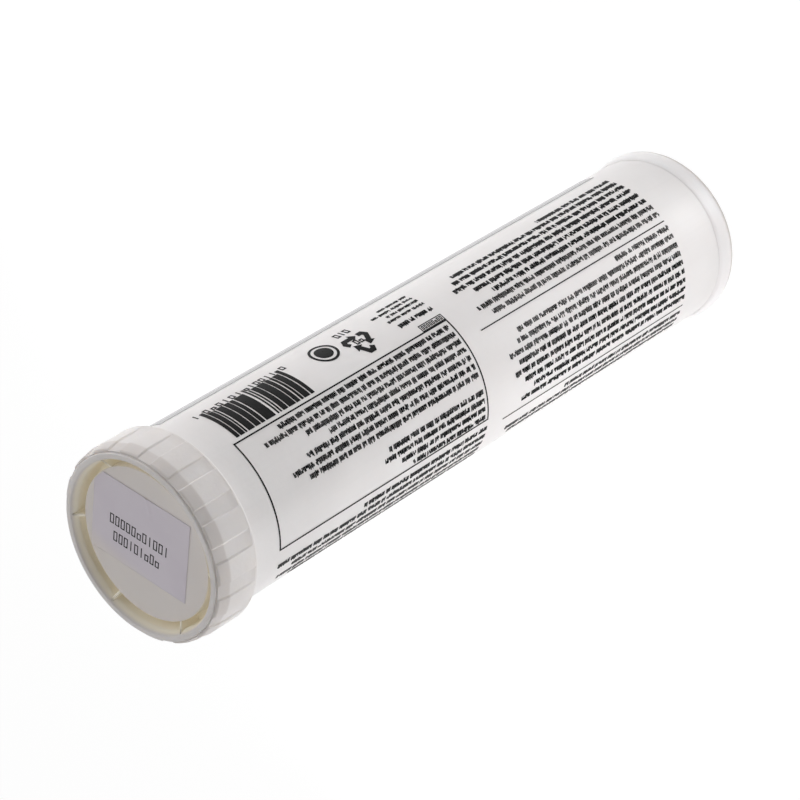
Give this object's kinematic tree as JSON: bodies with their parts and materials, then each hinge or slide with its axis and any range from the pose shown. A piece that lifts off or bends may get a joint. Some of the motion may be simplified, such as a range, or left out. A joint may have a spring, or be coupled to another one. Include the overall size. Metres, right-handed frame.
{
  "type": "grease cartridge",
  "caption": "Plain plastic tube of grease for a grease gun, with a gripped pull-off cap over its follower, a rimmed outlet lid and dark printed rows along one side.",
  "frame": {"origin": "centre of the rim that the cartridge stands on, at the outlet end", "axes": "+Z along the tube's axis, up from the outlet rim to the cap; the printed side faces -Y"},
  "size_m": [0.0582, 0.0582, 0.234],
  "materials": {
    "tube_plastic": "translucent white PVC, satin",
    "lid_plastic": "moulded polyethylene, satin",
    "grease": "soft and glossy",
    "follower_plastic": "moulded polyethylene",
    "cap_plastic": "moulded polyethylene, satin",
    "label_paper": "smooth paper",
    "ink": "screen-printed ink",
    "panel_ink": "screen-printed ink, glossy"
  },
  "bodies": {
    "tube": {"tube": "tube_plastic", "grease": "grease", "long_rows": "ink", "middle_rows": "ink", "lower_rows": "ink", "rules": "ink", "frame_lines": "ink", "frame_rows": "ink", "code_box": "ink", "barcode": "ink", "barcode_marks": "ink", "ring_mark": "ink", "recycling_mark": "ink", "side_rows": "ink", "back_panel": "panel_ink"},
    "cap": {"cap": "cap_plastic", "cap_label": "label_paper", "label_rows": "ink"},
    "follower": {"follower": "follower_plastic"},
    "outlet_lid": {"outlet_lid": "lid_plastic"}
  },
  "joints": [
    {"name": "cap_pull", "type": "slide", "parent": "tube", "child": "cap", "axis": [0, 0, 1], "range_m": [0, 0.04]},
    {"name": "follower_slide", "type": "slide", "parent": "tube", "child": "follower", "axis": [0, 0, -1], "range_m": [0, 0.197], "deforming": ["grease"]},
    {"name": "lid_pull", "type": "slide", "parent": "tube", "child": "outlet_lid", "axis": [0, 0, -1], "range_m": [0, 0.03]}
  ]
}
